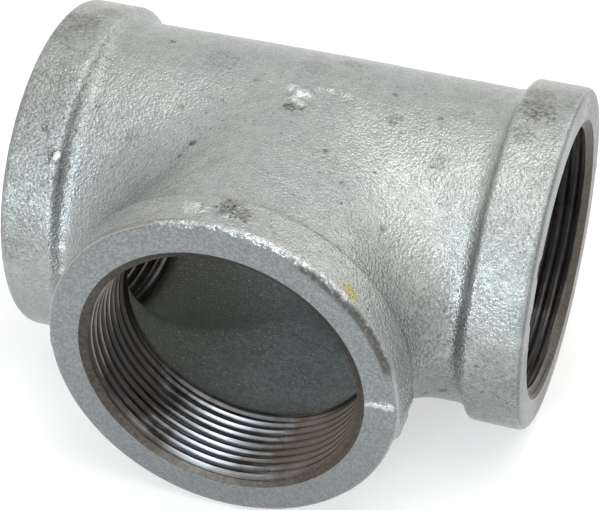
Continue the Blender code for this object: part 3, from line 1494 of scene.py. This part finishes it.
class NodeTool:
    """A Geometry Nodes modifier that is built, used once and baked into a plain mesh."""

    name: ClassVar[str] = "node tool"

    def tree(self) -> tuple[Graph, bpy.types.Node, bpy.types.Node]:
        """Start the tool's tree.

        Returns:
            The graph, its input node and its output node.
        """
        tree = bpy.data.node_groups.new(self.name, "GeometryNodeTree")
        tree.interface.new_socket("Geometry", in_out="INPUT", socket_type="NodeSocketGeometry")
        tree.interface.new_socket("Geometry", in_out="OUTPUT", socket_type="NodeSocketGeometry")
        for name, (kind, _) in self.sockets().items():
            tree.interface.new_socket(name, in_out="INPUT", socket_type=kind)
        graph = Graph(tree)
        return graph, graph.node("NodeGroupInput"), graph.node("NodeGroupOutput")

    def sockets(self) -> dict[str, tuple[str, Any]]:
        """The tool's named inputs, each with its kind and its value."""
        return {}

    def finish(self, graph: Graph, geometry: Socket, source: bpy.types.Node, target: bpy.types.Node) -> None:
        """End the tree with plain geometry in the piece's material.

        Args:
            graph: The tool's nodes.
            geometry: The geometry so far.
            source: The group's input node.
            target: The group's output node.
        """
        real = graph.node("GeometryNodeRealizeInstances", {"Geometry": geometry}).outputs[0]
        inputs = {"Geometry": real, "Material": source.outputs["Material"]}
        dressed = graph.node("GeometryNodeSetMaterial", inputs)
        graph.tree.links.new(dressed.outputs[0], target.inputs[0])

    def bake(self, thing: bpy.types.Object, tree: bpy.types.NodeTree, changes: dict[str, Any]) -> None:
        """Run the tool on an object and keep the result as its plain mesh.

        Args:
            thing: The object.
            tree: The tool's tree.
            changes: The named inputs that differ from the tool's own values.
        """
        values = {name: value for name, (_, value) in self.sockets().items()} | changes
        modifier = thing.modifiers.new(self.name, "NODES")
        modifier.node_group = tree
        for item in tree.interface.items_tree:
            if item.item_type == "SOCKET" and item.in_out == "INPUT" and item.name in values:
                modifier[item.identifier] = values[item.name]
        bpy.context.view_layer.update()
        graph = bpy.context.evaluated_depsgraph_get()
        made = bpy.data.meshes.new_from_object(thing.evaluated_get(graph), depsgraph=graph)
        thing.modifiers.clear()
        old = thing.data
        thing.data = made
        made.name = thing.name
        bpy.data.meshes.remove(old)


@dataclass(frozen=True)
class SandSkin(NodeTool):
    """The unevenness that moulding sand leaves, pushed out along the skin's own normals."""

    name: ClassVar[str] = "sand skin"
    wave_size: float = 17 * MM
    wave_depth: float = 0.16 * MM
    lump_size: float = 3.6 * MM
    lump_depth: float = 0.07 * MM
    grain_size: float = 1.5 * MM
    grain_depth: float = 0.03 * MM
    seed: float = 7.0
    sharp_angle: float = math.radians(50)

    def sockets(self) -> dict[str, tuple[str, Any]]:
        """The tool's named inputs.

        Returns:
            Each input's kind and value.
        """
        number = "NodeSocketFloat"
        return {
            "Wave size": (number, self.wave_size),
            "Wave depth": (number, self.wave_depth),
            "Lump size": (number, self.lump_size),
            "Lump depth": (number, self.lump_depth),
            "Grain size": (number, self.grain_size),
            "Grain depth": (number, self.grain_depth),
            "Seed": (number, self.seed),
            "Material": ("NodeSocketMaterial", None),
        }

    def layer(self, graph: Graph, place: Socket, source: bpy.types.Node, name: str,
              seed_step: float) -> Socket:
        """One size of unevenness.

        Args:
            graph: The tool's nodes.
            place: The position.
            source: The group's input node.
            name: The layer's name, which its two inputs start with.
            seed_step: What the layer adds to the seed.

        Returns:
            The layer's height, in metres.
        """
        seed = graph.math("ADD", source.outputs["Seed"], seed_step)
        scale = graph.math("DIVIDE", 1.0, source.outputs[f"{name} size"])
        inputs = {"Vector": place, "W": seed, "Scale": scale, "Detail": 2.0, "Roughness": 0.5}
        noise = graph.node("ShaderNodeTexNoise", inputs, noise_dimensions="4D").outputs[0]
        return graph.product(graph.math("SUBTRACT", noise, 0.5), 2.0, source.outputs[f"{name} depth"])

    def apply(self, thing: bpy.types.Object, material: bpy.types.Material) -> bpy.types.Object:
        """Roughen a piece.

        Args:
            thing: The piece, with "out" and "rough" attributes.
            material: Its finish.

        Returns:
            The piece.
        """
        graph, source, target = self.tree()
        place = graph.node("GeometryNodeInputPosition").outputs[0]
        out = graph.attribute("out", "FLOAT_VECTOR")
        height: Any = 0.0
        for step, name in enumerate(("Wave", "Lump", "Grain")):
            height = graph.math("ADD", height, self.layer(graph, place, source, name, 10.0 * step))
        offset = graph.scaled(out, graph.product(height, graph.attribute("rough", "FLOAT")))
        inputs = {"Geometry": source.outputs[0], "Offset": offset}
        moved = graph.node("GeometryNodeSetPosition", inputs).outputs[0]
        smooth = graph.node("GeometryNodeSetShadeSmooth", {"Geometry": moved}).outputs[0]
        self.finish(graph, smooth, source, target)
        self.bake(thing, graph.tree, {"Material": material})
        thing.data.attributes.remove(thing.data.attributes["out"])
        thing.data.set_sharp_from_angle(angle=self.sharp_angle)
        return thing


@dataclass(frozen=True)
class CutThread(NodeTool):
    """A right-hand taper thread cut into a port, with a chamfered mouth."""

    name: ClassVar[str] = "cut thread"
    sizes: TeeSizes
    pitch: float = 25.4 / 11.5 * MM
    pitch_radius: float = 29.16 * MM
    taper: float = 1 / 32
    height: float = 1.15 * MM
    crest: float = 0.25  # flat of the crest, as a share of the pitch
    root: float = 0.06  # the same for the root
    mouth_radius: float = 30.48 * MM
    chamfer_slope: float = 1.5
    run_out: float = 3.0 * MM
    tear: float = 0.08 * MM  # how much the crests are torn
    tear_start: float = 0.2 * MM  # the depth from which they are
    tear_scale: float = 9.0
    seed: float = 3.0
    lining_wall: float = 0.1 * MM  # how far the ring's back stays inside the lining
    sharp_angle: float = math.radians(28)
    columns: int = 360
    rows_per_pitch: int = 16

    def sockets(self) -> dict[str, tuple[str, Any]]:
        """The tool's named inputs.

        Returns:
            Each input's kind and value.
        """
        number = "NodeSocketFloat"
        return {
            "Length": (number, self.sizes.thread_length),
            "Pitch": (number, self.pitch),
            "Crest radius": (number, self.pitch_radius - self.height / 2),
            "Taper": (number, self.taper),
            "Thread height": (number, self.height),
            "Crest share": (number, self.crest),
            "Root share": (number, self.root),
            "Mouth radius": (number, self.mouth_radius),
            "Chamfer slope": (number, self.chamfer_slope),
            "Run-out": (number, self.run_out),
            "Start": (number, 0.0),
            "Seed": (number, self.seed),
            "Material": ("NodeSocketMaterial", None),
        }

    def wound(self) -> bpy.types.NodeTree:
        """Build the tree: a flat grid, wound round the port along the thread's helix.

        Returns:
            The tree.
        """
        graph, source, target = self.tree()
        sums, product, inputs = graph.math, graph.product, source.outputs
        turns = math.ceil(self.sizes.thread_length / self.pitch) + 1
        counts = {"Vertices X": self.columns + 1, "Vertices Y": turns * self.rows_per_pitch + 1}
        grid = graph.node("GeometryNodeMeshGrid", {"Size X": 1.0, "Size Y": 1.0, **counts})
        x, y, _ = graph.split(graph.node("GeometryNodeInputPosition").outputs[0])
        turn, row = sums("ADD", x, 0.5), sums("ADD", y, 0.5)
        along = product(row, float(turns), inputs["Pitch"])
        along = sums("SUBTRACT", along, product(turn, inputs["Pitch"]))
        depth = sums("MINIMUM", sums("MAXIMUM", along, 0.0), inputs["Length"])

        # how deep the tap has cut: 0 on a crest, 1 in a root
        phase = sums("ADD", sums("DIVIDE", depth, inputs["Pitch"]), turn)
        fold = sums("ABSOLUTE", sums("SUBTRACT", sums("FRACT", sums("ADD", phase, 0.5)), 0.5))
        slopes = sums("SUBTRACT", sums("SUBTRACT", 1.0, inputs["Crest share"]), inputs["Root share"])
        past_crest = sums("SUBTRACT", fold, product(inputs["Crest share"], 0.5))
        cut = sums("DIVIDE", past_crest, product(slopes, 0.5), clamp=True)

        fade = sums("DIVIDE", sums("SUBTRACT", inputs["Length"], depth), inputs["Run-out"], clamp=True)
        crest = sums("SUBTRACT", inputs["Crest radius"], product(depth, inputs["Taper"]))
        threaded = sums("MULTIPLY_ADD", product(cut, fade), inputs["Thread height"], crest)
        cone = sums("SUBTRACT", inputs["Mouth radius"], product(depth, inputs["Chamfer slope"]))
        radius = sums("MAXIMUM", threaded, cone)

        angle = product(sums("ADD", turn, inputs["Start"]), 2 * math.pi)
        spread = graph.joined(sums("COSINE", angle), sums("SINE", angle), 0.0)
        noise = {"Vector": spread, "W": inputs["Seed"], "Scale": self.tear_scale, "Detail": 3.0}
        torn = graph.node("ShaderNodeTexNoise", noise, noise_dimensions="4D").outputs[0]
        torn = product(sums("SUBTRACT", torn, 0.5), self.tear, sums("SUBTRACT", 1.0, cut))
        torn = product(torn, sums("GREATER_THAN", depth, self.tear_start))
        wide = graph.scaled(spread, sums("ADD", radius, torn))
        wound = graph.vector("ADD", wide, graph.joined(0.0, 0.0, product(depth, -1.0)))

        traits = {"Name": "cut", "Value": graph.joined(turn, depth, product(cut, MM))}
        geometry = graph.node("GeometryNodeStoreNamedAttribute", {"Geometry": grid.outputs[0], **traits},
                              data_type="FLOAT_VECTOR").outputs[0]
        for kind, settings in (
            ("GeometryNodeSetPosition", {"Position": wound}),
            ("GeometryNodeMergeByDistance", {"Distance": MICRON}),
            ("GeometryNodeSetShadeSmooth", {}),
        ):
            geometry = graph.node(kind, {"Geometry": geometry, **settings}).outputs[0]
        self.finish(graph, geometry, source, target)
        return graph.tree

    def close(self, data: bpy.types.Mesh) -> None:
        """Give the wound surface a back, so that it is a closed ring.

        Args:
            data: The thread's mesh, about Z with its mouth at Z = 0.
        """
        bm = bmesh.new()
        bm.from_mesh(data)
        bmesh.ops.dissolve_degenerate(bm, edges=bm.edges, dist=MICRON)
        open_edges = [e for e in bm.edges if e.is_boundary]
        inner = [e for e in open_edges if e.verts[0].co.z < -self.sizes.thread_length / 2]
        step = bmesh.ops.extrude_edge_only(bm, edges=inner)["geom"]
        for vert in (v for v in step if isinstance(v, bmesh.types.BMVert)):
            vert.co.x, vert.co.y = vert.co.xy.normalized() * (self.sizes.lining_radius - self.lining_wall)
        open_edges = [e for e in bm.edges if e.is_boundary]
        bmesh.ops.bridge_loops(bm, edges=open_edges)
        bmesh.ops.recalc_face_normals(bm, faces=bm.faces)
        for edge in bm.edges:
            edge.smooth = edge.calc_face_angle(0.0) < self.sharp_angle
        bm.to_mesh(data)
        bm.free()

    def build(self, name: str, node: str, port: Port, start: float,
              material: bpy.types.Material) -> bpy.types.Object:
        """Cut one port's thread.

        Args:
            name: The piece's name.
            node: The CAD node it stands for.
            port: Its port.
            start: Where round the port the thread starts, in turns.
            material: Its finish.

        Returns:
            The piece.
        """
        thing = add_object(name, bpy.data.meshes.new(name))
        changes = {"Material": material, "Start": start, "Seed": self.seed + 10 * start}
        self.bake(thing, self.wound(), changes)
        self.close(thing.data)
        turn = Matrix((port.side, UP, port.outward)).transposed()
        if turn.determinant() < 0:
            turn = Matrix((-port.side, UP, port.outward)).transposed()
        place = Matrix.Translation(self.sizes.place(port, 0, 0, 0)) @ turn.to_4x4()
        thing.data.transform(place)
        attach(thing, BODY)
        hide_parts(node)
        return thing


# The studio


@dataclass(frozen=True)
class Softbox:
    """A soft light that looks at the tee."""

    name: str
    azimuth: float  # degrees to the right of the branch
    elevation: float  # degrees up
    size: tuple[float, float]  # width and height, in metres
    power: float  # watts
    colour: Colour
    distance: float = 0.9  # metres from the crossing


SOFTBOXES = (
    Softbox("overhead", 62, 77, (0.56, 0.56), 3.1, (1.0, 1.0, 0.985)),
    Softbox("front", -5, 22, (0.16, 0.36), 3.3, (0.74, 0.89, 1.0)),
    Softbox("back_right", 135, 24, (0.50, 0.40), 0.9, (1.0, 1.0, 0.98)),
)


@dataclass(frozen=True)
class Studio:
    """A white room: a large light overhead, a cool narrow one in front and a weak one behind."""

    sizes: TeeSizes
    softboxes: Sequence[Softbox] = SOFTBOXES
    azimuth: float = 18.41  # degrees to the right of the branch
    elevation: float = 38.85
    roll: float = -0.14
    distance: float = 465.7 * MM
    lens: float = 126.6
    sensor: float = 36.0
    across: float = -1.66 * MM  # how far the view's middle lies from the crossing
    above: float = -10.07 * MM
    view_range: tuple[float, float] = (0.01, 20.0)  # metres
    room: Colour = (1.0, 0.99, 0.965)
    room_light: float = 1.03
    floor_half: float = 4.0
    floor_gap: float = 0.3 * MM  # how far the floor lies under the tee
    floor_colour: Colour = (0.45, 0.45, 0.45)
    floor_glow: float = 0.52
    floor_roughness: float = 0.9

    @staticmethod
    def direction(azimuth: float, elevation: float) -> Vector:
        """A direction away from the tee.

        Args:
            azimuth: Degrees to the right of the branch.
            elevation: Degrees up.

        Returns:
            The unit vector.
        """
        turn, rise = math.radians(azimuth), math.radians(elevation)
        return Vector((math.sin(turn) * math.cos(rise), -math.cos(turn) * math.cos(rise), math.sin(rise)))

    def camera(self) -> None:
        """Add the camera."""
        back = self.direction(self.azimuth, self.elevation)
        turn, tilt = math.radians(self.azimuth), math.radians(self.roll)
        right = Vector((math.cos(turn), math.sin(turn), 0))
        up = back.cross(right)
        right, up = right * math.cos(tilt) + up * math.sin(tilt), up * math.cos(tilt) - right * math.sin(tilt)
        data = bpy.data.cameras.new("camera")
        data.lens, data.sensor_width, data.sensor_fit = self.lens, self.sensor, "HORIZONTAL"
        data.clip_start, data.clip_end = self.view_range
        camera = add_object("camera", data)
        target = self.sizes.crossing + right * self.across + up * self.above
        facing = Matrix((right, up, back)).transposed().to_4x4()
        camera.matrix_world = Matrix.Translation(target + back * self.distance) @ facing
        bpy.context.scene.camera = camera

    def light(self, softbox: Softbox) -> None:
        """Add a soft light.

        Args:
            softbox: What it is and where it stands.
        """
        data = bpy.data.lights.new(softbox.name, "AREA")
        data.shape, data.size, data.size_y = "RECTANGLE", *softbox.size
        data.energy, data.color = softbox.power, softbox.colour
        away = self.direction(softbox.azimuth, softbox.elevation)
        light = add_object(softbox.name, data)
        light.location = self.sizes.crossing + away * softbox.distance
        light.rotation_euler = away.to_track_quat("Z", "Y").to_euler()

    def floor(self) -> None:
        """Add the white floor that the tee lies on."""
        half = self.floor_half
        corners = [(x * half, y * half, -self.floor_gap) for x, y in ((-1, -1), (1, -1), (1, 1), (-1, 1))]
        data = bpy.data.meshes.new("floor")
        data.from_pydata(corners, [], [(0, 1, 2, 3)])
        material = bpy.data.materials.new("white_sweep")
        material.use_nodes = True
        shader = material.node_tree.nodes["Principled BSDF"]
        shader.inputs["Base Color"].default_value = (*self.floor_colour, 1)
        shader.inputs["Emission Color"].default_value = (1, 1, 1, 1)
        shader.inputs["Emission Strength"].default_value = self.floor_glow
        shader.inputs["Roughness"].default_value = self.floor_roughness
        data.materials.append(material)
        add_object("floor", data)

    def build(self) -> None:
        """Set up the whole studio."""
        scene = bpy.context.scene
        scene.view_settings.view_transform = "Standard"
        world = bpy.data.worlds.new("white_room")
        world.use_nodes = True
        background = world.node_tree.nodes["Background"]
        background.inputs["Color"].default_value = (*self.room, 1)
        background.inputs["Strength"].default_value = self.room_light
        scene.world = world
        self.floor()
        for softbox in self.softboxes:
            self.light(softbox)
        self.camera()


def main() -> None:
    """Build the tee's looks around the frame."""
    logging.basicConfig(level=logging.INFO, format="%(name)s: %(message)s")
    sizes = TeeSizes.from_frame()
    shape = CastShape(sizes)
    zinc = ZincFinish(sizes, shape).material()
    waterway = WaterwayFinish().material()
    iron = CutIronFinish(sizes).material()

    pieces = Casting(sizes, shape, Relief(sizes), zinc, waterway).build()
    cutter = CutThread(sizes)
    pieces.append(cutter.build("cut_thread_left", "run_left_thread", Port.RUN_LEFT, 0.15, iron))
    pieces.append(cutter.build("cut_thread_right", "run_right_thread", Port.RUN_RIGHT, 0.55, iron))
    pieces.append(cutter.build("cut_thread_branch", "branch_thread", Port.BRANCH, 0.80, iron))
    for piece in pieces:
        piece.data.calc_loop_triangles()
        log.info("%s: %d triangles", piece.name, len(piece.data.loop_triangles))

    Studio(sizes).build()


if __name__ == "__main__":
    main()
